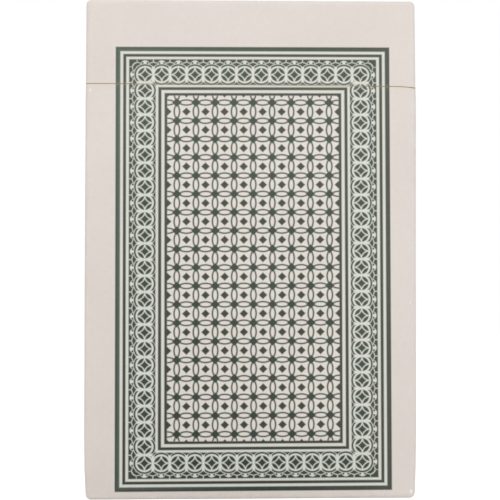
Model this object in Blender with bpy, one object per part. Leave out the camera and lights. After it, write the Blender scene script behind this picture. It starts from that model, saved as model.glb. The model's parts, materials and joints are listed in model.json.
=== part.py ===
# A deck of playing cards in its flip-top paperboard carton, standing upright with the lid shut.
# X is the width, -Y the printed front, +Y the hinge face; the origin is the middle of the base.
# Lengths are in metres.

import math

import bmesh
import bpy

# Cards: bridge size, 52 of them and two jokers, stacked front to back.
CARD_WIDTH = 0.057
CARD_HEIGHT = 0.088
CARD_THICKNESS = 0.00029
CARD_CORNER_RADIUS = 0.0035
CARD_AIR_GAP = 0.00002
SUITS = ("spades", "hearts", "diamonds", "clubs")
RANKS = ("ace", "2", "3", "4", "5", "6", "7", "8", "9", "10", "jack", "queen", "king")
JOKERS = ("joker_1", "joker_2")

# Board: the carton and its lid are one folded blank, the frame is a glued-in collar.
CARTON_BOARD = 0.00045
FRAME_BOARD = 0.0004
FOLD_RADIUS = 0.0006

# Room round the deck and between the pieces.
DECK_SIDE_ROOM = 0.00055
DECK_BACK_ROOM = 0.0003
DECK_BASE_ROOM = 0.0001
DECK_HEAD_ROOM = 0.0012
LID_SWING_ROOM = 0.00033
FRAME_GLUE_GAP = 0.0001
SEAM_GAP = 0.0003

# Lid: heights of its panels below the top, and how far its front edge runs out of level.
LID_FRONT_HEIGHT = 0.0153
LID_BACK_HEIGHT = 0.007
SEAM_SKEW = 0.0004
FLAP_ABOVE_FRAME = 0.0006

# Inner frame: how far it stops short of the hinge and of the back wall, and its thumb cut.
FRAME_HEIGHT = 0.042
FRAME_BELOW_HINGE = 0.0013
FRAME_BACK_SETBACK = 0.0025
THUMB_CUT_WIDTH = 0.024
THUMB_CUT_DEPTH = 0.0065
THUMB_CUT_RADIUS = 0.004

# Straight steps in each rounded corner.
FOLD_STEPS = 2
CORNER_STEPS = 4

# The deck as one block.
CARD_NAMES = [f"card_{suit}_{rank}" for suit in SUITS for rank in RANKS]
CARD_NAMES += [f"card_{joker}" for joker in JOKERS]
CARD_PITCH = CARD_THICKNESS + CARD_AIR_GAP
DECK_THICKNESS = CARD_PITCH * len(CARD_NAMES) - CARD_AIR_GAP
DECK_BASE = CARTON_BOARD + DECK_BASE_ROOM
DECK_TOP = DECK_BASE + CARD_HEIGHT

# The carton wraps the deck. Its depth lets the lid's front flap swing over the deck's top edge.
CARTON_HEIGHT = DECK_TOP + DECK_HEAD_ROOM + CARTON_BOARD
HINGE_HEIGHT = CARTON_HEIGHT - LID_BACK_HEIGHT
DECK_BACK_INSET = CARTON_BOARD + DECK_BACK_ROOM
DECK_FRONT_INSET = DECK_BACK_INSET + DECK_THICKNESS
DECK_SWING_RADIUS = math.hypot(DECK_FRONT_INSET, DECK_TOP - HINGE_HEIGHT)
CARTON_DEPTH = DECK_SWING_RADIUS + LID_SWING_ROOM + 2 * CARTON_BOARD
FRAME_INSET = CARTON_BOARD + FRAME_GLUE_GAP
CARTON_WIDTH = CARD_WIDTH + 2 * (DECK_SIDE_ROOM + FRAME_BOARD + FRAME_INSET)
HALF_WIDTH = CARTON_WIDTH / 2
HALF_DEPTH = CARTON_DEPTH / 2
FRAME_TOP = HINGE_HEIGHT - FRAME_BELOW_HINGE
FLAP_BASE = FRAME_TOP + FLAP_ABOVE_FRAME

# How far a cutter runs past what it cuts.
CUT_MARGIN = 0.002


def clear_scene():
    for obj in list(bpy.data.objects):
        bpy.data.objects.remove(obj, do_unlink=True)


def board_material(name, colour, roughness):
    material = bpy.data.materials.new(name)
    material.use_nodes = True
    shader = material.node_tree.nodes["Principled BSDF"]
    shader.inputs["Base Color"].default_value = (*colour, 1.0)
    shader.inputs["Roughness"].default_value = roughness
    shader.inputs["Metallic"].default_value = 0.0
    return material


def add_object(name, mesh, material=None):
    obj = bpy.data.objects.new(name, mesh)
    bpy.context.scene.collection.objects.link(obj)
    if material is not None:
        mesh.materials.append(material)
    return obj


def mesh_from(name, shape):
    bmesh.ops.recalc_face_normals(shape, faces=shape.faces)
    mesh = bpy.data.meshes.new(name)
    shape.to_mesh(mesh)
    shape.free()
    return mesh


# A point of a prism from its outline's two coordinates and its place along the axis.
def prism_point(axis, first, second, along):
    return {
        "X": (along, first, second),
        "Y": (first, along, second),
        "Z": (first, second, along),
    }[axis]


# A prism that runs along an axis from one outline to another with as many points.
def loft_mesh(name, axis, low_outline, high_outline, low, high):
    shape = bmesh.new()
    rings = []
    for outline, along in ((low_outline, low), (high_outline, high)):
        ring = [shape.verts.new(prism_point(axis, *point, along)) for point in outline]
        shape.faces.new(ring)
        rings.append(ring)
    lower, upper = rings
    for index in range(len(lower)):
        following = (index + 1) % len(lower)
        shape.faces.new((lower[index], lower[following], upper[following], upper[index]))
    bmesh.ops.triangulate(shape, faces=[face for face in shape.faces if len(face.verts) == 4],
                          quad_method="FIXED")
    return mesh_from(name, shape)


def prism_mesh(name, axis, outline, low, high):
    return loft_mesh(name, axis, outline, outline, low, high)


def arc_points(centre, radius, start_degrees, end_degrees, steps):
    points = []
    for step in range(steps + 1):
        angle = math.radians(start_degrees + (end_degrees - start_degrees) * step / steps)
        points.append((centre[0] + radius * math.cos(angle), centre[1] + radius * math.sin(angle)))
    return points


def rectangle(low, high):
    return [low, (high[0], low[1]), high, (low[0], high[1])]


def rounded_rectangle(half_width, height, radius, steps):
    corners = (
        (half_width - radius, radius, -90),
        (half_width - radius, height - radius, 0),
        (radius - half_width, height - radius, 90),
        (radius - half_width, radius, 180),
    )
    points = []
    for across, up, start in corners:
        points += arc_points((across, up), radius, start, start + 90, steps)
    return points


def cut(obj, cutter_name, cutter_mesh):
    cutter = add_object(cutter_name, cutter_mesh)
    cutter.hide_render = True
    cutter.display_type = "WIRE"
    modifier = obj.modifiers.new(cutter_name, "BOOLEAN")
    modifier.operation = "DIFFERENCE"
    modifier.solver = "EXACT"
    modifier.object = cutter


# The whole closed carton from outside, with its folded edges rounded.
def carton_block(name):
    shape = bmesh.new()
    bmesh.ops.create_cube(shape, size=1.0)
    for vert in shape.verts:
        vert.co.x *= CARTON_WIDTH
        vert.co.y *= CARTON_DEPTH
        vert.co.z = (vert.co.z + 0.5) * CARTON_HEIGHT
    bmesh.ops.bevel(shape, geom=shape.edges[:], offset=FOLD_RADIUS, segments=FOLD_STEPS,
                    profile=0.5, affect="EDGES")
    return mesh_from(name, shape)


# The cut between body and lid, from the front edge up to the hinge, as seen from one side.
def seam_profile(x, lift):
    front = CARTON_HEIGHT - LID_FRONT_HEIGHT - SEAM_SKEW * x / CARTON_WIDTH + lift
    back = HINGE_HEIGHT + lift
    return [
        (-HALF_DEPTH - CUT_MARGIN, front),
        (-HALF_DEPTH + CARTON_BOARD, front),
        (HALF_DEPTH - CARTON_BOARD, back),
        (HALF_DEPTH + CUT_MARGIN, back),
    ]


# Everything on one side of that cut, up to a level past the carton's end.
def seam_cutter(name, lift, far_level):
    reach = HALF_WIDTH + CUT_MARGIN
    outlines = []
    for x in (-reach, reach):
        far = [(HALF_DEPTH + CUT_MARGIN, far_level), (-HALF_DEPTH - CUT_MARGIN, far_level)]
        outlines.append(seam_profile(x, lift) + far)
    return loft_mesh(name, "X", *outlines, -reach, reach)


def build_carton_body(material):
    body = add_object("carton_body", carton_block("carton_body"), material)
    inner = HALF_DEPTH - CARTON_BOARD
    inside = rectangle((-inner, CARTON_BOARD), (inner, CARTON_HEIGHT - CARTON_BOARD))
    reach = HALF_WIDTH - CARTON_BOARD
    cut(body, "body_inside", prism_mesh("body_inside", "X", inside, -reach, reach))
    cut(body, "above_seam", seam_cutter("above_seam", -SEAM_GAP / 2, CARTON_HEIGHT + CUT_MARGIN))
    return body


# The lid's front panel is doubled by a flap that is folded in above the inner frame.
def build_carton_lid(material):
    lid = add_object("carton_lid", carton_block("carton_lid"), material)
    inner = HALF_DEPTH - CARTON_BOARD
    flap_face = inner - CARTON_BOARD
    ceiling = CARTON_HEIGHT - CARTON_BOARD
    inside = [
        (inner, CARTON_BOARD),
        (inner, ceiling),
        (-flap_face, ceiling),
        (-flap_face, FLAP_BASE),
        (-inner, FLAP_BASE),
        (-inner, CARTON_BOARD),
    ]
    reach = HALF_WIDTH - CARTON_BOARD
    cut(lid, "lid_inside", prism_mesh("lid_inside", "X", inside, -reach, reach))
    cut(lid, "below_seam", seam_cutter("below_seam", SEAM_GAP / 2, -CUT_MARGIN))
    hinge = bpy.data.objects.new("lid_hinge_axis", None)
    hinge.location = (0.0, HALF_DEPTH, HINGE_HEIGHT)
    bpy.context.scene.collection.objects.link(hinge)
    lid.parent = hinge
    lid.location = (0.0, -HALF_DEPTH, -HINGE_HEIGHT)
    return lid


# A collar glued inside the front and sides of the body; the lid closes over it.
def build_inner_frame(material):
    half_outer = HALF_WIDTH - FRAME_INSET
    half_inner = half_outer - FRAME_BOARD
    front_outer = -HALF_DEPTH + FRAME_INSET
    front_inner = front_outer + FRAME_BOARD
    side_end = HALF_DEPTH - CARTON_BOARD - FRAME_BACK_SETBACK
    fold = min(FOLD_RADIUS, FRAME_BOARD)
    left_fold = (-half_outer + fold, front_outer + fold)
    right_fold = (half_outer - fold, front_outer + fold)
    plan = [(-half_outer, side_end)]
    plan += arc_points(left_fold, fold, 180, 270, FOLD_STEPS)
    plan += arc_points(right_fold, fold, 270, 360, FOLD_STEPS)
    plan += [
        (half_outer, side_end),
        (half_inner, side_end),
        (half_inner, front_inner),
        (-half_inner, front_inner),
        (-half_inner, side_end),
    ]
    mesh = prism_mesh("inner_frame", "Z", plan, FRAME_TOP - FRAME_HEIGHT, FRAME_TOP)
    frame = add_object("inner_frame", mesh, material)

    half_cut = THUMB_CUT_WIDTH / 2
    floor = FRAME_TOP - THUMB_CUT_DEPTH
    bend = floor + THUMB_CUT_RADIUS
    above = FRAME_TOP + CUT_MARGIN
    notch = [(half_cut, above), (-half_cut, above)]
    notch += arc_points((-half_cut + THUMB_CUT_RADIUS, bend), THUMB_CUT_RADIUS, 180, 270, CORNER_STEPS)
    notch += arc_points((half_cut - THUMB_CUT_RADIUS, bend), THUMB_CUT_RADIUS, 270, 360, CORNER_STEPS)
    cutter = prism_mesh("thumb_cut", "Y", notch, front_outer - CUT_MARGIN, front_inner + CUT_MARGIN)
    cut(frame, "thumb_cut", cutter)
    return frame


# The cards stand on the carton's floor and lean on nothing: the last one lies nearest the hinge face.
def build_deck(material):
    slide = bpy.data.objects.new("deck_slide_axis", None)
    slide.location = (0.0, HALF_DEPTH - DECK_FRONT_INSET, DECK_BASE)
    bpy.context.scene.collection.objects.link(slide)
    outline = rounded_rectangle(CARD_WIDTH / 2, CARD_HEIGHT, CARD_CORNER_RADIUS, CORNER_STEPS)
    mesh = prism_mesh("card", "Y", outline, 0.0, CARD_THICKNESS)
    mesh.materials.append(material)
    for index, name in enumerate(CARD_NAMES):
        card = add_object(name, mesh)
        card.parent = slide
        card.location = (0.0, index * CARD_PITCH, 0.0)


clear_scene()
carton_stock = board_material("carton_stock", (0.70, 0.65, 0.61), 0.6)
frame_stock = board_material("frame_stock", (0.74, 0.71, 0.67), 0.75)
card_stock = board_material("card_stock", (0.84, 0.82, 0.78), 0.4)
build_carton_body(carton_stock)
build_carton_lid(carton_stock)
build_inner_frame(frame_stock)
build_deck(card_stock)
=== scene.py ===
import json
import math
from functools import partialmethod
import bpy
import numpy as np
from mathutils import Matrix, Vector

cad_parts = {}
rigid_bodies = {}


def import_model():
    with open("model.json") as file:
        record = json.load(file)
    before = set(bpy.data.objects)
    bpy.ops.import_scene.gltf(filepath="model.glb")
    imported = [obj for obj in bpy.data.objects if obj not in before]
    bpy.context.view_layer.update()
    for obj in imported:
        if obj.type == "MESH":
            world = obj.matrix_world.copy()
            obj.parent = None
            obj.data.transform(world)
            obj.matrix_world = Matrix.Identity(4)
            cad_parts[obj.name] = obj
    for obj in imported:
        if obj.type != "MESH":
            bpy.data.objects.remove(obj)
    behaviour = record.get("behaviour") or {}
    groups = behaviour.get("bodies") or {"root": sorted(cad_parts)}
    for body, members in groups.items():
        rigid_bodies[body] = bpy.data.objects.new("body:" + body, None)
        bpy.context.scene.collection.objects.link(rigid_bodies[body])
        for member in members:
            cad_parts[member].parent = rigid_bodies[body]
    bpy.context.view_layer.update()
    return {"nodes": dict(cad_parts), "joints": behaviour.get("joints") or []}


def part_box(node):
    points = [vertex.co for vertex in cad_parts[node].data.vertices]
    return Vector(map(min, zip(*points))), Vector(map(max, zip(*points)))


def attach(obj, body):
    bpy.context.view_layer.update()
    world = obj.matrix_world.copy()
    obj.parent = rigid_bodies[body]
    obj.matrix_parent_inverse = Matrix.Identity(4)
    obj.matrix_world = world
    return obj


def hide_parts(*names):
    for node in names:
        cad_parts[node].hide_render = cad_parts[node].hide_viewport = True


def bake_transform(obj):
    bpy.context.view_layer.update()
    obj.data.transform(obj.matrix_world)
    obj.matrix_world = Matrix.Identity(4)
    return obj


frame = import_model()
print("frame loaded:", len(frame["nodes"]), "nodes")


# Shapes are worked out in millimetres and put into the meshes in metres.
toMetres = 0.001


# A node's lowest and highest corner, in millimetres.
def nodeBox(name):
    low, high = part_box(name)
    return np.array(low) / toMetres, np.array(high) / toMetres


lidHigh = nodeBox("carton_lid")[1]
collarLow, collarHigh = nodeBox("inner_frame")
lidHinge = next(joint for joint in frame["joints"] if joint["name"] == "lid_hinge")
topProud = 0.24               # the top stands this much above the solid's

carton = {
    "halfWidth": float(lidHigh[0]),
    "halfDepth": float(lidHigh[1]),
    "height": float(lidHigh[2]) + topProud,
    "hingeHeight": lidHinge["pos_m"][2] / toMetres,
    "board": 0.45,            # thickness of the folded board
    "fold": 0.75,             # outer radius of the folds
    "cornerRound": 1.1,       # radius of the front's corners
    "seamBelowTop": 15.65,    # the lid's free edge, at the middle of the front
    "seamSkew": 0.4,          # how much lower that edge is at the right than at the left
    "seamDroop": (2.6, 0.22),           # it drops this close to the right fold, by this much
    "seamGap": 0.07,
    "gapPlaces": (-26, -18, 18, 26, 28.5, 30),      # x of some places, and the gap's share there:
    "gapShares": (1, 0.65, 0.65, 1, 1, 1.8),        # narrower over the middle, wider at the right fold
    "edgeRound": 0.04,        # softened corners of a cut edge
    "flapStep": 0.2,          # the outer side flap lies this much proud of the inner one
    "flapEdge": 0.02,         # half the width of that step
    "flapFromBack": 1.3,      # where the outer side flap ends, from the back face
    "flapFromEnd": 1.0,       # and from the base or the top
    "flapRunIn": 4.0,         # those ends lie flush at the front fold and stand proud from here on
    "bulge": 0.22,            # the front and back swell over the deck
    "bulgeFlat": 0.6,         # power of the swelling's sine, flatter below 1
    "creaseDepth": 0.13,
    "creaseWidth": 0.38,
}

# How far the right and left sides stand out from the plain box at some heights, in millimetres.
sideReach = {
    "heights": (0.0, 1.5, 5.0, 12.0, 40.0, 72.0, 75.2, 90.2),
    "right": (-0.40, -0.40, -0.24, -0.08, 0.03, 0.28, 0.20, 0.14),
    "left": (-0.26, -0.26, -0.05, 0.05, 0.02, -0.03, -0.08, -0.11),
}


# Geometry helpers

farMark = 9.0                 # a mark's value where its edge isn't near
sharpDegrees = 32             # faces that meet at more than this keep a sharp edge


# Joins grids of points into one mesh. A patch is (points of shape rows x columns x 3, slot, marks), and its
# faces turn to where columns cross rows; points on the same micrometre become one, and a quad whose corners
# meet there becomes a triangle. A mark is a value at each point, the lowest kept where points join.
def sheetMesh(name, patches, markNames=()):
    points, quads, slots = [], [], []
    marks = {mark: [] for mark in markNames}
    start = 0
    for grid, slot, given in patches:
        rows, columns = grid.shape[:2]
        index = start + np.arange(rows * columns).reshape(rows, columns)
        around = (index[:-1, :-1], index[:-1, 1:], index[1:, 1:], index[1:, :-1])
        quads.append(np.stack(around, -1).reshape(-1, 4))
        slots.append(np.full(len(quads[-1]), slot))
        points.append(grid.reshape(-1, 3))
        for mark in markNames:
            value = given.get(mark, farMark)
            marks[mark].append(np.broadcast_to(value, (rows, columns)).ravel())
        start += rows * columns
    points, quads, slots = np.concatenate(points), np.concatenate(quads), np.concatenate(slots)

    # Points are moved a little first, because a size that ends in half a step could go to either side.
    weldStep, offBoundary = 0.001, 0.000137
    keys = np.floor((points + offBoundary) / weldStep + 0.5).astype(np.int64)
    _, first, joined = np.unique(keys, axis=0, return_index=True, return_inverse=True)
    joined = joined.reshape(-1)
    quads = joined[quads]
    kept = quads != np.roll(quads, -1, axis=1)       # a corner that repeats the next one goes
    whole = kept.sum(1) >= 3
    quads, kept, slots = quads[whole], kept[whole], slots[whole]
    corners = kept.sum(1)

    mesh = bpy.data.meshes.new(name)
    mesh.vertices.add(len(first))
    mesh.vertices.foreach_set("co", (points[first] * toMetres).astype(np.float32).ravel())
    mesh.loops.add(int(corners.sum()))
    mesh.loops.foreach_set("vertex_index", quads[kept].astype(np.int32))
    mesh.polygons.add(len(quads))
    mesh.polygons.foreach_set("loop_start", (np.cumsum(corners) - corners).astype(np.int32))
    mesh.polygons.foreach_set("material_index", slots.astype(np.int32))
    for mark in markNames:
        least = np.full(len(first), farMark)
        np.minimum.at(least, joined, np.concatenate(marks[mark]))
        attribute = mesh.attributes.new(mark, "FLOAT", "POINT")
        attribute.data.foreach_set("value", least.astype(np.float32))
    mesh.update(calc_edges=True)
    mesh.validate()
    mesh.shade_smooth()
    mesh.set_sharp_from_angle(angle=math.radians(sharpDegrees))
    return mesh


def addObject(name, data):
    added = bpy.data.objects.new(name, data)
    bpy.context.scene.collection.objects.link(added)
    return added


def addPiece(name, mesh, materials):
    for material in materials:
        mesh.materials.append(material)
    return addObject(name, mesh)


# A bend of an outline: an arc round a centre, as x, y and the outward direction.
def bent(centreX, centreY, r, angle):
    return centreX + r * np.cos(angle), centreY + r * np.sin(angle), np.cos(angle), np.sin(angle)


# Joins stretches of an outline, each given as x, y and the outward direction, into whole arrays.
def joinedOutline(stretches):
    parts = [np.broadcast_arrays(*np.atleast_1d(*stretch)) for stretch in stretches]
    return [np.concatenate(values) for values in zip(*parts)]


# A mesh's faces as slots, normals and middles, and its corners as faces and places in millimetres.
def meshArrays(mesh):
    def read(items, label, kind, width):
        values = np.empty(len(items) * width, kind)
        items.foreach_get(label, values)
        return values.reshape(-1, width)

    slot = read(mesh.polygons, "material_index", np.int32, 1)[:, 0]
    total = read(mesh.polygons, "loop_total", np.int32, 1)[:, 0]
    normal = read(mesh.polygons, "normal", np.float32, 3)
    middle = read(mesh.polygons, "center", np.float32, 3) / toMetres
    place = read(mesh.vertices, "co", np.float32, 3) / toMetres
    vertex = read(mesh.loops, "vertex_index", np.int32, 1)[:, 0]
    return slot, normal, middle, np.repeat(np.arange(len(slot)), total), place[vertex]


def addMap(mesh, name, places):
    layer = mesh.uv_layers.new(name=name)
    layer.uv.foreach_set("vector", places.astype(np.float32).ravel())


sideNames = ("-x", "+x", "-y", "+y", "-z", "+z")


# Lays each face flat by the side it faces most, one island for each slot and side, and packs the islands in
# shelves. The wanted sizes are pixels for a millimetre: of each slot, and of the sides of the first slot
# that are printed.
def layBakeMap(mesh, wanted):
    slot, normal, _, faceOf, place = meshArrays(mesh)
    axis = np.abs(normal).argmax(1)
    side = axis * 2 + (np.take_along_axis(normal, axis[:, None], 1)[:, 0] > 0)
    x, y, z = place.T
    across = np.choose(side[faceOf], [-y, y, x, -x, x, x])
    up = np.choose(axis[faceOf], [z, z, y])
    islands = []
    for number, facing in sorted(set(zip(slot.tolist(), side.tolist()))):
        here = ((slot == number) & (side == facing))[faceOf]
        printed = number == 0 and sideNames[facing] in wanted["printedSides"]
        flat = np.stack([across[here], up[here]], 1)
        flat = (flat - flat.min(0)) * (wanted["printed"] if printed else wanted["slots"][number])
        upright = flat[:, 1].max() > flat[:, 0].max()
        islands.append((flat[:, ::-1] if upright and not printed else flat, here))
    islands.sort(key=lambda island: -island[0][:, 1].max())
    margin, pixels = wanted["margin"], wanted["pixels"]
    left, bottom, shelf = margin, margin, 0.0
    found = np.zeros((len(faceOf), 2))
    for flat, here in islands:
        width, height = flat.max(0)
        if left + width + margin > pixels:
            left, bottom, shelf = margin, bottom + shelf + margin, 0.0
        found[here] = (flat + (left, bottom)) / pixels
        left, shelf = left + width + margin, max(shelf, height)
    addMap(mesh, "OFBake", found)
    print("bake map of", mesh.name, "filled to", round(float(bottom + shelf)), "of", pixels)


# Shader helpers

# A screen colour as the linear one that shaders take.
def srgb(red, green, blue):
    value = np.array((red, green, blue)) / 255.0
    linear = np.where(value <= 0.04045, value / 12.92, ((value + 0.055) / 1.055) ** 2.4)
    return (*(float(part) for part in linear), 1.0)


# Links a shader value or a socket to a slot, or writes a plain number or colour there.
def feed(tree, slot, value):
    if isinstance(value, shaderValue):
        value = value.socket
    if isinstance(value, bpy.types.NodeSocket):
        tree.links.new(value, slot)
    else:
        slot.default_value = value


# A number in a shader. Arithmetic with it adds Math nodes to its tree.
class shaderValue:
    def __init__(self, tree, socket):
        self.tree = tree
        self.socket = socket

    def step(self, operation, other=None):
        node = self.tree.nodes.new("ShaderNodeMath")
        node.operation = operation
        feed(self.tree, node.inputs[0], self)
        if other is not None:
            feed(self.tree, node.inputs[1], other)
        return shaderValue(self.tree, node.outputs[0])

    __add__ = __radd__ = partialmethod(step, "ADD")
    __sub__ = partialmethod(step, "SUBTRACT")
    __mul__ = __rmul__ = partialmethod(step, "MULTIPLY")
    __truediv__ = partialmethod(step, "DIVIDE")
    __neg__ = partialmethod(step, "MULTIPLY", -1.0)
    __abs__ = partialmethod(step, "ABSOLUTE")

    def __rsub__(self, other):
        return -self + other


def lowest(first, *others):
    for other in others:
        first = first.step("MINIMUM", other)
    return first


def highest(first, *others):
    for other in others:
        first = first.step("MAXIMUM", other)
    return first


def radius(across, up):
    return (across * across + up * up).step("SQRT")


# The distance from the nearest of evenly spaced lines, with its sign.
def folded(value, pitch):
    return value - (value / pitch).step("ROUND") * pitch


def limited(value):
    return lowest(highest(value, 0.0), 1.0)


# How far a height lies above a line that starts at foot and climbs by slope, square to the line.
def aboveLine(height, along, foot, slope):
    return (height - foot - along * slope) / math.hypot(1.0, slope)


# 1 where a signed distance is inside, 0 outside, with an even slope across the edge.
def inked(distance, softness):
    return limited(0.5 - distance / (2.0 * softness))


# A share that is full at an edge and falls evenly to nothing at reach, over the width of fade.
def nearEdge(distance, reach, fade, share):
    return limited((reach - distance) / fade) * share


def newGroup(name, inputs, outputs):
    group = bpy.data.node_groups.new(name, "ShaderNodeTree")
    for direction, sockets in (("INPUT", inputs), ("OUTPUT", outputs)):
        for label, kind in sockets:
            group.interface.new_socket(label, in_out=direction, socket_type="NodeSocket" + kind)
    return group, group.nodes.new("NodeGroupInput"), group.nodes.new("NodeGroupOutput")


def newMaterial(name, roughness, specular):
    material = bpy.data.materials.new(name)
    material.use_nodes = True
    shader = material.node_tree.nodes["Principled BSDF"]
    shader.inputs["Roughness"].default_value = roughness
    shader.inputs["Specular IOR Level"].default_value = specular
    shader.inputs["Metallic"].default_value = 0.0
    return material, material.node_tree, shader


# Places a group in a tree and gives its outputs by name.
def placeGroup(tree, group, **inputs):
    node = tree.nodes.new("ShaderNodeGroup")
    node.node_tree = group
    for label, value in inputs.items():
        feed(tree, node.inputs[label], value)
    return {output.name: shaderValue(tree, output) for output in node.outputs}


def objectPlace(tree):
    return tree.nodes.new("ShaderNodeTexCoord").outputs["Object"]


def vectorParts(tree, vector):
    node = tree.nodes.new("ShaderNodeSeparateXYZ")
    tree.links.new(vector, node.inputs[0])
    return [shaderValue(tree, output) for output in node.outputs]


def inMillimetres(tree, place):
    return [part / toMetres for part in vectorParts(tree, place)]


def mixed(tree, share, first, second):
    node = tree.nodes.new("ShaderNodeMix")
    node.data_type = "RGBA"
    slots = {(slot.name, slot.type): slot for slot in node.inputs}
    feed(tree, slots["Factor", "VALUE"], share)
    feed(tree, slots["A", "RGBA"], first)
    feed(tree, slots["B", "RGBA"], second)
    return next(output for output in node.outputs if output.type == "RGBA")


def noise(tree, vector, perMetre, detail):
    node = tree.nodes.new("ShaderNodeTexNoise")
    node.inputs["Scale"].default_value = perMetre
    node.inputs["Detail"].default_value = detail
    tree.links.new(vector, node.inputs["Vector"])
    return shaderValue(tree, node.outputs["Fac"])


def bumped(tree, shader, height, depth, strength):
    node = tree.nodes.new("ShaderNodeBump")
    node.inputs["Strength"].default_value = strength
    node.inputs["Distance"].default_value = depth * toMetres
    feed(tree, node.inputs["Height"], height)
    feed(tree, shader.inputs["Normal"], node.outputs["Normal"])


# The printed ornament: ruled borders, a chain of rings with a fringe, and a lattice of petals.
# Every motif is a signed distance in millimetres, negative where there is ink. In the border, places are
# measured outwards from the line of rings and along it from the middle of a ring.
ornament = {
    "upStretch": 0.9692,       # the border's drawing is this much shorter than it is wide
    "ringPitch": 3.0155,
    "ringsFromMiddle": (6.5, 12.0),      # from the middle to the ring lines, in ring pitches, across and up

    # Rulings, as centre and half width
    "rulings": ((4.855, 0.39), (3.655, 0.24), (-2.665, 0.25), (-3.76, 0.22)),
    "rulingEven": 0.0075,      # rulings stand a little further out at the sides than at the ends

    # Rings
    "lobeCentre": 1.394,
    "petalRadius": 1.256,
    "diamondArc": (2.32, 2.80),          # centre and radius of the arcs that a diamond's sides follow
    "diamondReach": 1.2,
    "arcRadius": 1.798,
    "arcHalfLine": 0.136,
    "arcHalfLength": 1.205,

    # Fringe; sloping sides are given as foot and slope
    "fringeTop": 2.865,
    "eye": (1.907, 0.797),               # centre and radius of the round opening in front of a ring
    "bellBase": (1.918, 0.372),
    "bellHalf": 1.394,
    "dots": (2.179, 0.44, 0.158),        # out, along, radius
    "kiteBase": (1.531, 0.653),
    "kiteTop": (2.251, -0.318),
    "wedgeTip": -1.444,
    "wedgeSlope": 1.42,
    "wedgeBase": -1.895,

    # Corners
    "leafCentre": 1.3,
    "leafRadius": 0.87,
    "leafFrom": 2.2,
    "blockRadius": 1.12,       # round the leaf's centre, cut out of the block
    "blockFrom": 1.53,
    "cornerArcFrom": -1.2,

    # Lattice
    "latticePitch": 3.458,
    "latticeStretch": 0.9628,
    "latticeEdge": -3.85,      # the lattice ends here, under the thin ruling
    "petalOuter": (1.648, 0.586),        # half length and half height of a petal's outer and inner lens
    "petalInner": (1.304, 0.379),
    "starHalf": 0.595,
    "lozengeHalf": 0.72,

    # Ink
    "softness": 0.11,
    "inkSpread": (0.03, 0.034),          # ink runs this far past the edges of the border and the lattice
    "toneHalfWidth": 25.0,     # tones that change across reach their ends this far from the middle
    "outerThinned": (0.02, 0.09),        # ink lost at the outer ruling's inside, and what the left adds
    "outerBrowned": 0.6,       # share of brown in the outer ruling at the right
    "borderBrowned": 0.5,      # and in the thin parts of the border
    "toneSoftness": (0.1, 0.2),
    "groundSoftness": 0.3,
}


# The signed distance from a lens made of two equal arcs, for places on one side of its long axis.
def lens(along, across, halfLength, halfHeight):
    arc = (halfLength ** 2 + halfHeight ** 2) / (2 * halfHeight)
    return radius(along, across + (arc - halfHeight)) - arc


# Rings: four petals round a diamond, with an arc on either side.
def ringParts(out, along):
    o = ornament
    fromRing = radius(out, along)
    lobe = radius(abs(out) - o["lobeCentre"], along - o["lobeCentre"])
    petals = highest(fromRing, lobe) - o["petalRadius"]
    arcCentre, arcRadius = o["diamondArc"]
    hollow = arcRadius - radius(abs(out) - arcCentre, along - arcCentre)
    diamond = highest(hollow, fromRing - o["diamondReach"])
    arcs = highest(abs(fromRing - o["arcRadius"]) - o["arcHalfLine"], along - o["arcHalfLength"])
    return petals, arcs, diamond


# Fringe: outside the rings, bells with a round opening and two dots, and kites between them; inside, wedges.
def fringeParts(out, along, between):
    o = ornament
    eyeOut, eyeRadius = o["eye"]
    eye = radius(out - eyeOut, along) - eyeRadius
    aboveBase = aboveLine(out, along, *o["bellBase"])
    bell = highest(-aboveBase, out - o["fringeTop"], along - o["bellHalf"], -eye)
    dotOut, dotAlong, dotRadius = o["dots"]
    dots = radius(out - dotOut, along - dotAlong) - dotRadius
    kite = highest(-aboveLine(out, between, *o["kiteBase"]), aboveLine(out, between, *o["kiteTop"]))
    wedgeSide = aboveLine(between, out - o["wedgeTip"], 0.0, -o["wedgeSlope"])
    wedge = highest(wedgeSide, o["wedgeBase"] - out)
    return bell, dots, kite, wedge


# Corners: past the last ring there is a leaf and a block instead of the fringe, and the ring's arc runs on
# round the outside but not the inside.
def withCorners(straight, outSide, outEnd):
    o = ornament
    halfPitch = o["ringPitch"] / 2
    out = highest(outSide, outEnd)
    inCorner = lowest(outSide, outEnd)
    pastRing = radius(outSide - o["leafCentre"], outEnd - o["leafCentre"])
    fromRing = radius(outSide, outEnd)
    leaf = highest(pastRing - o["leafRadius"], o["leafFrom"] - fromRing)
    block = highest(o["blockRadius"] - pastRing, out - o["fringeTop"], o["blockFrom"] - inCorner)
    arc = highest(abs(fromRing - o["arcRadius"]) - o["arcHalfLine"], o["cornerArcFrom"] - inCorner)
    corner = lowest(highest(straight, inCorner - halfPitch), leaf, block, arc)
    atCorner = (inCorner + halfPitch).step("GREATER_THAN", 0.0)
    return atCorner * corner + (1.0 - atCorner) * straight


# Lattice: petals across and up between stars, with a lozenge in each cell.
def latticeParts(across, up):
    o = ornament
    diagonal = math.sqrt(0.5)
    cell = o["latticePitch"]
    half = cell / 2
    cellAcross = abs(folded(across, cell))
    cellUp = abs(folded(up / o["latticeStretch"], cell))
    petals = []
    for lengthwise, crosswise in ((cellAcross - half, cellUp), (cellUp - half, cellAcross)):
        outerLens = lens(lengthwise, crosswise, *o["petalOuter"])
        innerLens = lens(lengthwise, crosswise, *o["petalInner"])
        petals.append(highest(outerLens, -innerLens))
    star = (cellAcross + cellUp) * diagonal - o["starHalf"]
    lozenge = (abs(cellAcross - half) + abs(cellUp - half) - o["lozengeHalf"]) * diagonal
    return lowest(*petals), star, lozenge


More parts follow.
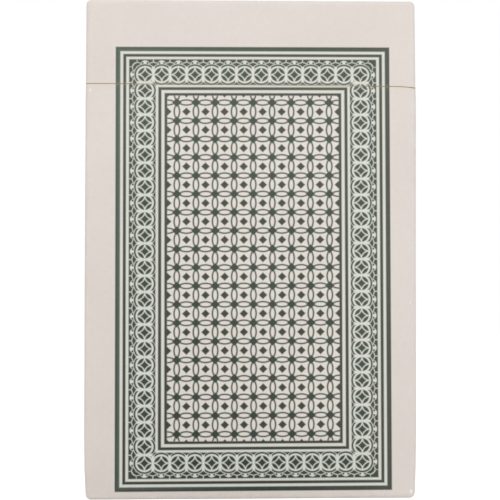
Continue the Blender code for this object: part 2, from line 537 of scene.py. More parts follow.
def ornamentGroup():
    group, inside, outside = newGroup(
        "cardBackOrnament",
        [("Across", "Float"), ("Up", "Float")],
        [("Ink", "Float"), ("Fine", "Float"), ("Ground", "Float"), ("Border", "Float")],
    )
    o = ornament
    across = shaderValue(group, inside.outputs["Across"])
    up = shaderValue(group, inside.outputs["Up"])

    # Border: out is measured away from the nearest line of rings, along from the nearest ring.
    pitch = o["ringPitch"]
    upDrawn = up / o["upStretch"]
    outSide = abs(across) - o["ringsFromMiddle"][0] * pitch
    outEnd = abs(upDrawn) - o["ringsFromMiddle"][1] * pitch
    out = highest(outSide, outEnd)
    onSide = outSide.step("GREATER_THAN", outEnd)
    alongSide = folded(upDrawn, pitch)
    alongEnd = folded(across + pitch / 2, pitch)
    along = abs(onSide * alongSide + (1.0 - onSide) * alongEnd)
    petals, arcs, diamond = ringParts(out, along)
    thin = lowest(petals, arcs, *fringeParts(out, along, pitch / 2 - along))
    border = withCorners(lowest(thin, diamond), outSide, outEnd)

    # Rulings, and the lattice inside the last of them
    level = highest(outSide * (1 - o["rulingEven"]), outEnd * (1 + o["rulingEven"]))
    outerLine, *thinLines = [abs(level - centre) - half for centre, half in o["rulings"]]
    latticeLines, star, lozenge = latticeParts(across, up)
    pastLattice = level - o["latticeEdge"]
    lattice = highest(lowest(latticeLines, star, lozenge), pastLattice)

    # Ink: in the outer ruling it thins towards the inside, most at the left.
    borderSpread, latticeSpread = o["inkSpread"]
    outer, outerHalf = o["rulings"][0]
    lost, lostAtLeft = o["outerThinned"]
    inward = limited((outer + outerHalf - level) / (2 * outerHalf))
    thinned = inward * (lost + limited(across / -o["toneHalfWidth"]) * lostAtLeft)
    outerInk = inked(outerLine - borderSpread, o["softness"]) * (1.0 - thinned)
    inner = lowest(*thinLines, border, lattice + (borderSpread - latticeSpread))
    ink = highest(outerInk, inked(inner - borderSpread, o["softness"]))

    # Fine parts are browner, and so is the outer ruling at the right.
    closeSoft, wideSoft = o["toneSoftness"]
    fineLines = lowest(highest(lowest(latticeLines, lozenge), pastLattice), *thinLines)
    inStar = inked(highest(star, pastLattice), closeSoft)
    browned = inked(outerLine, wideSoft) * limited(across / o["toneHalfWidth"]) * o["outerBrowned"]
    fineInBorder = inked(thin, closeSoft) * o["borderBrowned"]
    fine = highest(inked(fineLines, wideSoft) * (1.0 - inStar), fineInBorder, browned)

    ground = inked(level - outer - outerHalf, o["groundSoftness"])
    inBorder = inked(-pastLattice, o["groundSoftness"])
    for label, value in (("Ink", ink), ("Fine", fine), ("Ground", ground), ("Border", inBorder)):
        feed(group, outside.inputs[label], value)
    return group


paperLook = {
    "cloudsPerMetre": 70.0,
    "cloudShare": 0.6,
    "fibresPerMetre": 1500.0,
    "fibreShare": 0.4,
}


# Paper's cloudiness and tooth: two sizes of noise as a shade round 0, and a height for bumps.
def paperGroup():
    outputs = [("Shade", "Float"), ("Height", "Float")]
    group, inside, outside = newGroup("paperTooth", [("Place", "Vector")], outputs)
    clouds = noise(group, inside.outputs["Place"], paperLook["cloudsPerMetre"], detail=3.0)
    fibres = noise(group, inside.outputs["Place"], paperLook["fibresPerMetre"], detail=2.0)
    shade = (clouds - 0.5) * paperLook["cloudShare"] + (fibres - 0.5) * paperLook["fibreShare"]
    feed(group, outside.inputs["Shade"], shade)
    feed(group, outside.inputs["Height"], fibres)
    return group


foldRub = {
    "near": (0.75, 0.6, 1.0),            # reach, fade and share round a fold
    "patchesPerMetre": 420.0,
    "patchFrom": 0.42,         # noise under this leaves the fold whole
    "patchContrast": 4.0,
}


# Rubbed folds: near where two faces of the carton meet, broken up by noise.
def foldWearGroup():
    group, inside, outside = newGroup("foldWear", [("Place", "Vector")], [("Wear", "Float")])
    x, y, z = inMillimetres(group, inside.outputs["Place"])
    fromSide = carton["halfWidth"] - abs(x)
    fromFace = carton["halfDepth"] - abs(y)
    fromEnd = carton["height"] / 2 - abs(z - carton["height"] / 2)
    furthest = highest(fromSide, fromFace, fromEnd)
    fromFold = fromSide + fromFace + fromEnd - furthest      # the two nearest faces only
    patches = noise(group, inside.outputs["Place"], foldRub["patchesPerMetre"], detail=3.0)
    broken = limited((patches - foldRub["patchFrom"]) * foldRub["patchContrast"])
    feed(group, outside.inputs["Wear"], nearEdge(fromFold, *foldRub["near"]) * broken)
    return group


cardBackOrnament = ornamentGroup()
paperTooth = paperGroup()
foldWear = foldWearGroup()
print("ornament drawn with", len(cardBackOrnament.nodes), "nodes")


# Materials

printColours = {
    "paper": srgb(226, 217, 211),
    "latticeGround": srgb(228, 225, 216),
    "borderGround": srgb(220, 224, 215),
    "paleInk": srgb(73, 84, 74),         # the ink near the top
    "inkInPaintedShade": srgb(24, 38, 32),         # the ink darkened as painted shade low down, left of the middle
    "brownInk": srgb(83, 79, 68),        # thin lines look browner
    # the brown ink darkened as painted shade low down
    "brownInkInPaintedShade": srgb(42, 38, 32),
    # dark brown used for soil and for the painted shade low down
    "grimeAndShade": srgb(108, 90, 77),
    "yellowed": srgb(222, 210, 186),     # paper beside the cut edges
    "rubbedFold": srgb(230, 229, 225),
    "bareBoard": srgb(246, 241, 237),
    "cutBoard": srgb(200, 180, 158),
    "cardPaper": srgb(238, 236, 230),
    "cardEdge": srgb(222, 218, 208),
    "red": srgb(176, 36, 42),
    "black": srgb(34, 34, 36),
}
cartonPrint = {
    "centre": (0.43, 41.60),
    "skew": 0.002,             # the print climbs a little to the right
    "groundShare": 0.85,       # how far the print's ground covers the paper
    "brownShare": 0.8,         # how brown the finest lines are
    "cover": (0.99, 0.08),     # how well the ink covers, evenly and with the paper's clouds
    "roughness": (0.56, -0.08, 0.15),    # of the paper, and what ink and clouds add
    "specular": 0.2,
    "tooth": (0.02, 0.35),     # depth in millimetres and strength of the paper's bumps
}
cartonWearAndShade = {
    "paintedShadeMiddle": -9.0,         # painted shade: paper and ink are darkest low down, left of the middle, fading to the sides and upwards
    "paintedShadeHalfWidth": 45.0,      # fading to the sides
    "paintedShadeHeight": 75.0,         # and upwards
    "paintedShadeMost": 0.9,
    "soilAndShade": (0.05, 0.2, 0.15),           # soil everywhere and in clouds, and painted shade low down
    "foldShare": 0.45,         # how far rubbed folds lose their colour
    # Along the cut edges of body and lid, as reach, fade and share
    "yellowed": (0.7, 0.6, 0.35),
    "edgeSoil": (0.25, 0.2, 0.2),
    "inkCracked": (0.12, 0.06, 0.27),
    "inkRubbed": (0.9, 0.6, 0.03),
    # Chafed spots on the front, as x, z, radius and strength
    "nicks": ((28.8, 1.25, 0.32, 0.75), (-29.1, 73.8, 0.24, 0.55), (28.9, 35.2, 0.2, 0.5)),
    "nickSlim": 0.7,           # their width over their height
    "nickFade": 0.5,           # share of the radius
}


def cartonPaperMaterial():
    c, p, w = printColours, cartonPrint, cartonWearAndShade
    paperRough, inkRough, cloudRough = p["roughness"]
    material, tree, shader = newMaterial("cartonPaper", paperRough, p["specular"])
    place = objectPlace(tree)
    x, y, z = inMillimetres(tree, place)
    across = x - p["centre"][0]
    up = z - p["centre"][1] - across * p["skew"]
    drawn = placeGroup(tree, cardBackOrnament, Across=across, Up=up)
    tooth = placeGroup(tree, paperTooth, Place=place)
    wear = placeGroup(tree, foldWear, Place=place)["Wear"]
    ink, shade = drawn["Ink"], tooth["Shade"]
    edge = tree.nodes.new("ShaderNodeAttribute")
    edge.attribute_name = "rimDistance"
    fromRim = shaderValue(tree, edge.outputs["Fac"])

    # Paper: its ground under the print, then soil and, low down, painted shade, and yellowed and soiled
    # along the cut edge
    # Painted shade: low is 1 low down and left of the middle, where paper and ink are darkened
    aside = (x - w["paintedShadeMiddle"]) / w["paintedShadeHalfWidth"]
    low = limited(1.0 - z / w["paintedShadeHeight"]) * limited(w["paintedShadeMost"] - aside * aside)
    evenSoil, cloudSoil, paintedShadeShare = w["soilAndShade"]
    soilAndShade = limited(evenSoil + shade * cloudSoil + low * low * paintedShadeShare)
    printGround = mixed(tree, drawn["Border"], c["latticeGround"], c["borderGround"])
    paper = mixed(tree, drawn["Ground"] * p["groundShare"], c["paper"], printGround)
    paper = mixed(tree, soilAndShade, paper, c["grimeAndShade"])
    paper = mixed(tree, nearEdge(fromRim, *w["yellowed"]), paper, c["yellowed"])
    paper = mixed(tree, nearEdge(fromRim, *w["edgeSoil"]), paper, c["cutBoard"])

    # Ink: darker low down as painted shade, browner in fine lines, partly off along the cut edge
    green = mixed(tree, low, c["paleInk"], c["inkInPaintedShade"])
    brown = mixed(tree, low, c["brownInk"], c["brownInkInPaintedShade"])
    tone = mixed(tree, drawn["Fine"] * p["brownShare"], green, brown)
    evenCover, cloudCover = p["cover"]
    left = 1.0 - nearEdge(fromRim, *w["inkCracked"]) - nearEdge(fromRim, *w["inkRubbed"])
    covered = limited(ink * left * (evenCover + shade * cloudCover))

    colour = mixed(tree, covered, paper, tone)
    colour = mixed(tree, wear * w["foldShare"], colour, c["rubbedFold"])
    front = y.step("LESS_THAN", 0.0)
    for nickX, nickZ, size, strength in w["nicks"]:
        fromNick = radius(x - nickX, (z - nickZ) * w["nickSlim"])
        spot = nearEdge(fromNick, size, size * w["nickFade"], strength) * front
        colour = mixed(tree, spot, colour, c["bareBoard"])
    feed(tree, shader.inputs["Base Color"], colour)
    feed(tree, shader.inputs["Roughness"], paperRough + ink * inkRough + shade * cloudRough)
    bumped(tree, shader, tooth["Height"], *p["tooth"])
    return material


# Unprinted boards, as colour, darker colour of the clouds, roughness and depth of the bumps in millimetres
boards = {
    "cartonInside": (srgb(222, 218, 210), srgb(203, 197, 187), 0.75, 0.03),
    "cutBoard": (printColours["cutBoard"], srgb(176, 162, 146), 0.85, 0.06),
    "collarBoard": (srgb(226, 221, 212), srgb(208, 202, 192), 0.7, 0.03),
}
boardLook = {
    "specular": 0.25,
    "clouds": (0.3, 1.6),      # share of the darker colour, evenly and with the clouds
    "bumpStrength": 0.5,
}


def boardMaterial(name):
    colour, darker, roughness, depth = boards[name]
    material, tree, shader = newMaterial(name, roughness, boardLook["specular"])
    tooth = placeGroup(tree, paperTooth, Place=objectPlace(tree))
    even, cloudy = boardLook["clouds"]
    clouded = mixed(tree, limited(even + tooth["Shade"] * cloudy), colour, darker)
    feed(tree, shader.inputs["Base Color"], clouded)
    bumped(tree, shader, tooth["Height"], depth, boardLook["bumpStrength"])
    return material


cartonPaper = cartonPaperMaterial()
cartonInside, cutBoard, collarBoard = (boardMaterial(name) for name in boards)
print("carton materials made")


# How the carton's surfaces are divided into rows and columns
cartonGrid = {
    "panelColumns": 33,        # over the front or back, closer together towards the folds
    "sideColumns": 14,         # over a side, up to the flap's free edge
    "bendSteps": 8,
    "foldSteps": (6, 3),       # of the base and top folds, outside and inside the board
    "rimSpread": (0.12, 0.2, 0.3, 0.5, 0.8),       # close rows beside a cut rim
    "bodyWall": (2.0, 1.2, 40),          # even rows: first height, last one's drop from the rim, count
    "bodyInside": (0.5, 1.0, 24),        # a row below the rim, the even rows' drop from it, count
    "overCrease": (0.1, 0.9, 9),         # close rows above the crease: first, last, count
    "backSheet": (1.2, 12),              # even rows above those: first, count
    "lidWall": 16,             # even rows of the lid's wall
}


# The carton's outline from above: four panels joined by quarter-circle folds, anticlockwise from the left
# end of the front and closed. Gives x, y and the outward direction, where the back's columns start and end,
# and the places across the front and along a side.
def cartonPlan():
    r, flapEdge = carton["fold"], carton["flapEdge"]
    cx, cy = carton["halfWidth"] - r, carton["halfDepth"] - r
    flapEnd = carton["halfDepth"] - carton["flapFromBack"]
    frontX = cx * np.sin(np.linspace(-1, 1, cartonGrid["panelColumns"]) * math.pi / 2)
    toFlap = np.linspace(-cy, flapEnd - flapEdge, cartonGrid["sideColumns"])
    sideY = np.concatenate([toFlap, [flapEnd + flapEdge, cy]])
    quarter, steps = math.pi / 2, cartonGrid["bendSteps"]
    bend = np.arange(1, steps) * quarter / steps
    outline = joinedOutline([
        (frontX, -cy - r, 0.0, -1.0),
        bent(cx, -cy, r, bend - quarter),
        (cx + r, sideY, 1.0, 0.0),
        bent(cx, cy, r, bend),
        (frontX[::-1], cy + r, 0.0, 1.0),
        bent(-cx, cy, r, bend + quarter),
        (-cx - r, sideY[::-1], -1.0, 0.0),
        bent(-cx, -cy, r, bend + 2 * quarter),
        (frontX[:1], -cy - r, 0.0, -1.0),
    ])
    backStart = len(frontX) + 2 * len(bend) + len(sideY)
    return outline, backStart, backStart + len(frontX), frontX, sideY


(planX, planY, planNx, planNy), backStart, backEnd, panelX, panelY = cartonPlan()
everyColumn = np.arange(len(planX))[None]
# The columns from the back panel's last one round the sides and front to its first one
wrapColumns = np.concatenate([np.arange(backEnd - 1, len(planX)), np.arange(1, backStart + 1)])[None]
backColumns = np.arange(backStart, backEnd)[None]


# The cut between body and lid: nearly level across the front board, then a straight slope to the hinge along
# the sides.
def seamHeight(x, y):
    inner = carton["halfDepth"] - carton["board"]
    front = carton["height"] - carton["seamBelowTop"] - carton["seamSkew"] * x / (2 * carton["halfWidth"])
    reach, droop = carton["seamDroop"]
    front = front - droop * np.clip((x - carton["halfWidth"] + reach) / reach, 0, 1)
    share = np.clip((y + inner) / (2 * inner), 0.0, 1.0)
    return front + (carton["hingeHeight"] - front) * share


def halfGap(x):
    return carton["seamGap"] / 2 * np.interp(x, carton["gapPlaces"], carton["gapShares"])


# The carton's surface: plan points moved in by inset and up to z, then swollen, creased and trimmed at the
# sides. The swelling falls off to the folds as a parabola across and a flattened sine up; the crease is a
# bell curve round the hinge; the side flap's free edges are a step; the sides follow sideReach, fading
# inwards as a cube, and end in quarter circles.
def skinPoints(x, y, nx, ny, inset, z):
    c = carton
    x, y, nx, ny, inset, z = np.broadcast_arrays(x, y, nx, ny, inset, np.asarray(z, float))
    px, py = x - nx * inset, y - ny * inset
    behindFlap = py >= c["halfDepth"] - c["flapFromBack"]
    pastFlap = (z <= c["flapFromEnd"]) | (z >= c["height"] - c["flapFromEnd"])
    runIn = np.clip((py + c["halfDepth"]) / c["flapRunIn"], 0, 1)
    step = c["flapStep"] * np.where(behindFlap, 1.0, pastFlap * runIn)
    rise = np.clip((z - c["fold"]) / (c["height"] - 2 * c["fold"]), 0, 1)
    swell = c["bulge"] * (1 - (x / c["halfWidth"]) ** 2) * np.sin(math.pi * rise) ** c["bulgeFlat"]
    crease = np.exp(-((z - c["hingeHeight"]) / c["creaseWidth"]) ** 2) * c["creaseDepth"]
    py = py + ny * (swell - crease * (ny > 0.5))             # the back alone is creased
    right = np.interp(z, sideReach["heights"], sideReach["right"]) - step
    left = np.interp(z, sideReach["heights"], sideReach["left"]) - step
    share = px / c["halfWidth"]
    px = px + right * np.clip(share, 0, 1) ** 3 + left * np.clip(share, -1, 0) ** 3
    intoCorner = np.clip(c["cornerRound"] - np.minimum(z, c["height"] - z), 0, c["cornerRound"])
    reach = c["halfWidth"] - c["cornerRound"] + np.sqrt(c["cornerRound"] ** 2 - intoCorner ** 2)
    px = np.clip(px, -reach - left, reach + right)
    return np.stack([px, py, z], -1)


def cartonSkin(columns, inset, z):
    return skinPoints(planX[columns], planY[columns], planNx[columns], planNy[columns], inset, z)


# Insets and heights of the rows of a rounded fold, from flat (inset by the outer radius) to upright.
# The inner side of the board follows the same centre with the board taken off the radius.
def foldRows(depth, steps):
    r = carton["fold"]
    angle = np.linspace(0, math.pi / 2, steps + 1)[:, None]
    return r - (r - depth) * np.sin(angle), r - (r - depth) * np.cos(angle)


# A flat panel that closes an end between the last rows of its folds.
def endPanel(z, backToFront):
    rows = panelY[::-1] if backToFront else panelY
    return skinPoints(panelX[None], rows[:, None], 0.0, 0.0, 0.0, z)


# Rows at some distances from a rim, above it (1) or below it (-1).
def rimRows(rim, towards, spread):
    return rim + towards * np.array(spread)[:, None]


# Narrow strips that close the edges between a surface and the one behind it: along the first row, the last
# row, the first column and the last column.
def edgeStrips(near, far, slot):
    return [
        (np.stack([far[0], near[0]]), slot, {}),
        (np.stack([near[-1], far[-1]]), slot, {}),
        (np.stack([far[:, 0], near[:, 0]], 1), slot, {}),
        (np.stack([near[:, -1], far[:, -1]], 1), slot, {}),
    ]


printedSide, plainSide, cutEdge = range(3)           # the carton's material slots


# Body: base, walls up to the seam, the cut rim, the inside, and the back panel that runs on over the crease
# to the top fold.
def cartonBodyMesh():
    board, soft, fold = carton["board"], carton["edgeRound"], carton["fold"]
    flapEnd, flapEdge, spread = carton["flapFromEnd"], carton["flapEdge"], cartonGrid["rimSpread"]
    outerSteps, innerSteps = cartonGrid["foldSteps"]
    rim = (seamHeight(planX, planY) - np.where(planNy > 0, carton["seamGap"] / 2, halfGap(planX)))[None]
    foldInset, foldHeight = foldRows(0.0, outerSteps)
    wallFrom, wallDrop, wallRows = cartonGrid["bodyWall"]
    low = np.array([flapEnd - flapEdge, flapEnd + flapEdge, wallFrom])[:, None] + 0 * rim
    middle = wallFrom + (rim - wallDrop - wallFrom) * np.linspace(0, 1, wallRows)[1:, None]
    top = rimRows(rim, -1, (*spread[::-1], soft))
    wallZ = np.concatenate([foldHeight + 0 * rim, low, middle, top, rim])
    upright = len(low) + len(middle) + len(top)
    wallInset = np.concatenate([foldInset, np.zeros((upright, 1)), [[soft]]])
    wall = cartonSkin(everyColumn, wallInset, wallZ)
    rimMark = np.where(np.arange(len(wallZ))[:, None] >= len(foldHeight), rim - wallZ, farMark)

    innerInset, innerHeight = foldRows(board, innerSteps)
    underRim, shaftDrop, shaftRows = cartonGrid["bodyInside"]
    down = rimRows(rim, -1, (soft, underRim))
    shaft = fold + (rim - shaftDrop - fold) * np.linspace(1, 0, shaftRows)[:-1, None]
    innerZ = np.concatenate([rim, down, shaft, innerHeight[::-1] + 0 * rim])
    straight = np.full((len(down) + len(shaft), 1), board)
    inner = cartonSkin(everyColumn, np.concatenate([[[board - soft]], straight, innerInset[::-1]]), innerZ)

    wrapRim = rim[0, wrapColumns]
    cutInset = np.array([[soft], [board - soft]])
    cut = cartonSkin(wrapColumns, cutInset, np.concatenate([wrapRim, wrapRim]))

    # The back panel over the crease
    backRim = rim[0, backColumns]
    farFrom, farRows = cartonGrid["backSheet"]
    far = np.linspace(farFrom, carton["height"] - fold - backRim.max(), farRows)
    rise = np.concatenate([[0.0, soft], np.linspace(*cartonGrid["overCrease"]), far])[:, None]
    sheetOut = cartonSkin(backColumns, np.where(rise == 0, soft, 0.0), backRim + rise)
    sheetIn = cartonSkin(backColumns, np.where(rise == 0, board - soft, board), backRim + rise)
    patches = [
        (endPanel(0.0, True), printedSide, {}),
        (wall, printedSide, {"rimDistance": rimMark}),
        (cut, cutEdge, {}),
        (inner, plainSide, {}),
        (endPanel(board, False), plainSide, {}),
        (sheetOut, printedSide, {}),
        (sheetIn[::-1], plainSide, {}),
        *edgeStrips(sheetOut, sheetIn, cutEdge)[1:],         # the first row lies on the wall's rim
    ]
    return sheetMesh("cartonBody", patches, ("rimDistance",))


# Lid: the cut rim, the front and sides up to the top fold, the top, the inside, and the flap that is folded
# in behind the front. Its back panel belongs to the body's sheet.
lidFlap = {
    "aboveCollar": 0.6,
    "fromSide": 1.3,
    "belowTop": 0.8,
    "glue": 0.01,
    "columns": 25,
    "rows": 5,
}


def cartonLidMesh():
    board, soft, height = carton["board"], carton["edgeRound"], carton["height"]
    flapEnd, flapEdge, spread = height - carton["flapFromEnd"], carton["flapEdge"], cartonGrid["rimSpread"]
    outerSteps, innerSteps = cartonGrid["foldSteps"]
    rim = (seamHeight(planX, planY) + halfGap(planX))[wrapColumns]
    low = rimRows(rim, 1, (soft, *spread))
    climb = np.linspace(0, 1, cartonGrid["lidWall"])[1:, None]
    middle = rim + spread[-1] + (flapEnd - flapEdge - rim - spread[-1]) * climb
    high = np.array([flapEnd + flapEdge, height - carton["fold"]])[:, None] + 0 * rim
    wallZ = np.concatenate([rim, low, middle, high])
    atRim = np.arange(len(wallZ))[:, None] == 0
    wall = cartonSkin(wrapColumns, np.where(atRim, soft, 0.0), wallZ)
    inner = cartonSkin(wrapColumns, np.where(atRim, board - soft, board), wallZ)
    foldInset, foldHeight = foldRows(0.0, outerSteps)
    topFold = cartonSkin(everyColumn, foldInset[::-1], height - foldHeight[::-1])
    innerInset, innerHeight = foldRows(board, innerSteps)
    innerFold = cartonSkin(everyColumn, innerInset, height - innerHeight)
    rimStrip, _, *endStrips = edgeStrips(wall, inner, cutEdge)
    back = backColumns[0]
    patches = [
        (endPanel(height - board, True), plainSide, {}),
        (innerFold, plainSide, {}),
        (inner[::-1], plainSide, {}),
        rimStrip,
        (wall, printedSide, {"rimDistance": wallZ - rim}),
        (topFold, printedSide, {}),
        (endPanel(height, False), printedSide, {}),
        (np.stack([innerFold[-1, back], topFold[0, back]]), cutEdge, {}),
        *endStrips,
    ]

    # The folded-in flap: a flat strip of board that follows the front panel's inside
    f = lidFlap
    across = np.linspace(-1, 1, f["columns"]) * (carton["halfWidth"] - board - f["fromSide"])
    flapLow, flapHigh = collarHigh[2] + f["aboveCollar"], height - board - f["belowTop"]
    up = np.linspace(flapLow, flapHigh, f["rows"])[:, None]
    near = skinPoints(across[None], -carton["halfDepth"], 0.0, -1.0, board + f["glue"], up)
    deep = skinPoints(across[None], -carton["halfDepth"], 0.0, -1.0, 2 * board, up)
    patches += [
        (near, plainSide, {}),
        (deep[::-1], plainSide, {}),
        *edgeStrips(near, deep, cutEdge),
    ]
    return sheetMesh("cartonLid", patches, ("rimDistance",))


bodyMesh = cartonBodyMesh()
cartonBody = addPiece("cartonBody", bodyMesh, (cartonPaper, cartonInside, cutBoard))
print("carton body:", len(bodyMesh.polygons), "faces")
lidMesh = cartonLidMesh()
cartonLid = addPiece("cartonLid", lidMesh, (cartonPaper, cartonInside, cutBoard))
print("carton lid:", len(lidMesh.polygons), "faces")

# Bake maps: the print gets more pixels than plain board.
bodyMap = {
    "pixels": 1024,
    "margin": 6,
    "printed": 8.2,
    "printedSides": ("-y", "+y"),
    "slots": (4.2, 1.6, 1.6),
}
lidMap = {
    "pixels": 512,
    "margin": 5,
    "printed": 8.2,
    "printedSides": ("-y",),
    "slots": (4.1, 2.6, 2.6),
}
layBakeMap(bodyMesh, bodyMap)
layBakeMap(lidMesh, lidMap)

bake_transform(cartonBody)
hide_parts("carton_body")
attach(cartonLid, "lid")
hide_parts("carton_lid")


# Inner frame: a folded strip of plain board along the sides and front, with a thumb cut in its top edge.
collar = {
    "board": 0.4,
    "fold": 0.6,
    "clearance": 0.18,        # drawn in from the lid's sides
    "thumbHalf": 12.0,
    "thumbDepth": 6.5,
    "thumbRadius": 4.0,
    "thumbEdge": 0.015,       # width over which the cut's sides drop
    "edgeRound": 0.05,
    "bendSteps": 6,
    "sideColumns": 12,
    "frontColumns": (6, 13, 10),         # over half the front: the cut's floor, its arc, and past it
    "pastThumb": 1.5,         # where those past the cut begin
    "rows": 14,
}


# The strip's path from above is straight, a quarter circle, straight, a quarter circle, straight; its
# section is a flat ring with softened edges. The top edge drops round the thumb cut as a line, a quarter
# circle, a line.
def collarMesh():
    c = collar
    outX, outY, endY = collarHigh[0] - c["clearance"], collarLow[1], collarHigh[1]
    cx, cy = outX - c["fold"], outY + c["fold"]
    quarter = math.pi / 2
    bend = np.linspace(0, quarter, c["bendSteps"] + 1)[1:-1]
    cutHalf, cutRadius = c["thumbHalf"], c["thumbRadius"]
    floorHalf = cutHalf - cutRadius
    onFloor, onArc, onFront = c["frontColumns"]
    halfX = np.concatenate([
        np.linspace(0, floorHalf, onFloor)[:-1],
        floorHalf + cutRadius * np.sin(np.linspace(0, quarter, onArc)),
        [cutHalf + c["thumbEdge"]],
        np.linspace(cutHalf + c["pastThumb"], cx, onFront),
    ])
    frontX = np.concatenate([-halfX[:0:-1], halfX])
    sideY = np.linspace(cy, endY, c["sideColumns"])
    x, y, nx, ny = joinedOutline([
        (-outX, sideY[::-1], -1.0, 0.0),
        bent(-cx, cy, c["fold"], bend + 2 * quarter),
        (frontX, outY, 0.0, -1.0),
        bent(cx, cy, c["fold"], bend - quarter),
        (outX, sideY, 1.0, 0.0),
    ])
    fromArc = np.clip(np.abs(x) - floorHalf, 0, cutRadius)
    dip = c["thumbDepth"] - cutRadius + np.sqrt(cutRadius ** 2 - fromArc ** 2)
    inCut = (np.abs(x) <= cutHalf) & (ny < -0.99)            # on the front alone
    top = collarHigh[2] - np.where(inCut, dip, 0.0)

    soft, board, bottom = c["edgeRound"], c["board"], np.full((1, len(x)), collarLow[2])
    climb = np.linspace(0, 1, c["rows"])[:, None]
    upZ = bottom + soft + (top - bottom - 2 * soft) * climb
    z = np.concatenate([bottom, upZ, [top], [top], upZ[::-1], bottom, bottom])
    outerDepth = [soft, *np.zeros(c["rows"]), soft]
    innerDepth = [board - soft, *np.full(c["rows"], board), board - soft]
    depth = np.array([*outerDepth, *innerDepth, soft])[:, None]
    ring = np.stack(np.broadcast_arrays(x - nx * depth, y - ny * depth, z), -1)
    half = len(outerDepth)
    outer, inside = ring[:half], ring[half:2 * half][::-1]
    endCaps = edgeStrips(outer, inside, 0)[2:]
    return sheetMesh("innerCollar", [(ring, 0, {}), *endCaps])


innerCollar = addPiece("innerCollar", collarMesh(), (collarBoard,))
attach(innerCollar, "carton")
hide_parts("inner_frame")
print("inner frame made")


# Cards: the ornament on the back, pips on the face. Pips alone show the rank, eleven to thirteen for the
# courts.
cardShape = {
    "corner": 3.5,
    "cornerSteps": 6,
    "cornerClear": 0.05,      # the outer straight columns stay this far inside the corner arcs
    "columnX": 13.0,
    "endZ": 27.0,
    "pipHalf": 4.6,
    "acePipHalf": 9.0,
    "cornerPip": (22.8, 37.4, 2.0),      # across, up, half size
    "noPip": 4.0,             # pip coordinates of faces outside every pip
}
cardLook = {
    "roughness": 0.38,
    "specular": 0.4,
    "clouds": (0.1, 0.8),     # share of the edges' tone in the paper, evenly and with the clouds
    "pipSoftness": 0.02,
    "backBrown": 0.6,         # how brown the back's fine lines are
    "edgeRoughness": 0.7,
    "edgeSpecular": 0.3,
    "edgeVaries": 0.7,        # from card to card
    "edgeClouds": 0.5,
    "edgeDark": srgb(198, 192, 180),
}
cardBackSlot, cardFaceSlot, cardEdgeSlot = range(3)
# Pips are drawn in units of half a pip's square.
pipDrawing = {
    "stemWaist": (0.08, -0.4),           # half width and height
    "stemFlare": 0.4,
    "stemEnds": (-0.25, -0.95),
    "diamondTop": 0.95,
    "diamondSlope": 1.28,
    "clubSide": (0.44, -0.12),           # centre of a side lobe
    "clubTop": 0.48,
    "clubRadius": 0.40,
    "clubMiddle": (0.2, 0.3),            # half width and half height of what joins the lobes
    "jokerStar": 0.98,
    "heartLobe": (0.385, 0.36),
    "heartRadius": 0.43,
    "heartTip": -0.95,
    "heartSlope": 0.708,
    "heartShoulder": 0.19,
    "spadeShrink": 1.12,
    "spadeLift": 0.13,
}


def pipStem(side, q):
    waist, waistHeight = pipDrawing["stemWaist"]
    top, foot = pipDrawing["stemEnds"]
    return highest(side - waist + (q - waistHeight) * pipDrawing["stemFlare"], q - top, foot - q)


def pipHeart(side, q):
    d = pipDrawing
    lobes = radius(side - d["heartLobe"][0], q - d["heartLobe"][1]) - d["heartRadius"]
    point = highest(aboveLine(side, q - d["heartTip"], 0.0, d["heartSlope"]), q - d["heartShoulder"])
    return lowest(lobes, point)


# Negative inside a suit's pip, in pip units from about -1 to 1. A spade is a heart upside down, a little
# smaller and higher, on a stem.
def pipShape(suit, p, q):
    d = pipDrawing
    side = abs(p)
    if suit == "diamonds":
        return aboveLine(abs(q), side, d["diamondTop"], -d["diamondSlope"])
    if suit == "clubs":
        sideLobe = radius(side - d["clubSide"][0], q - d["clubSide"][1])
        lobes = lowest(sideLobe, radius(p, q - d["clubTop"])) - d["clubRadius"]
        middle = highest(side - d["clubMiddle"][0], abs(q) - d["clubMiddle"][1])
        return lowest(lobes, middle, pipStem(side, q))
    if suit == "joker":
        return side.step("SQRT") + abs(q).step("SQRT") - d["jokerStar"]
    if suit == "spades":
        turned = d["spadeLift"] - q * d["spadeShrink"]
        return lowest(pipHeart(side * d["spadeShrink"], turned), pipStem(side, q))
    return pipHeart(side, q)


def cardPaper(tree, place):
    shade = placeGroup(tree, paperTooth, Place=place)["Shade"]
    even, cloudy = cardLook["clouds"]
    return mixed(tree, limited(even + shade * cloudy), printColours["cardPaper"], printColours["cardEdge"])


def cardFaceMaterial(suit, ink):
    material, tree, shader = newMaterial("cardFace_" + suit, cardLook["roughness"], cardLook["specular"])
    layer = tree.nodes.new("ShaderNodeUVMap")
    layer.uv_map = "pips"
    p, q, _ = vectorParts(tree, layer.outputs["UV"])
    covered = inked(pipShape(suit, p, q), cardLook["pipSoftness"])
    paper = cardPaper(tree, objectPlace(tree))
    feed(tree, shader.inputs["Base Color"], mixed(tree, covered, paper, ink))
    return material


def cardBackMaterial(middleZ):
    material, tree, shader = newMaterial("cardBack", cardLook["roughness"], cardLook["specular"])
    place = objectPlace(tree)
    x, _, z = inMillimetres(tree, place)
    drawn = placeGroup(tree, cardBackOrnament, Across=x, Up=z - middleZ)
    brown = drawn["Fine"] * cardLook["backBrown"]
    tone = mixed(tree, brown, printColours["paleInk"], printColours["brownInk"])
    feed(tree, shader.inputs["Base Color"], mixed(tree, drawn["Ink"], cardPaper(tree, place), tone))
    return material


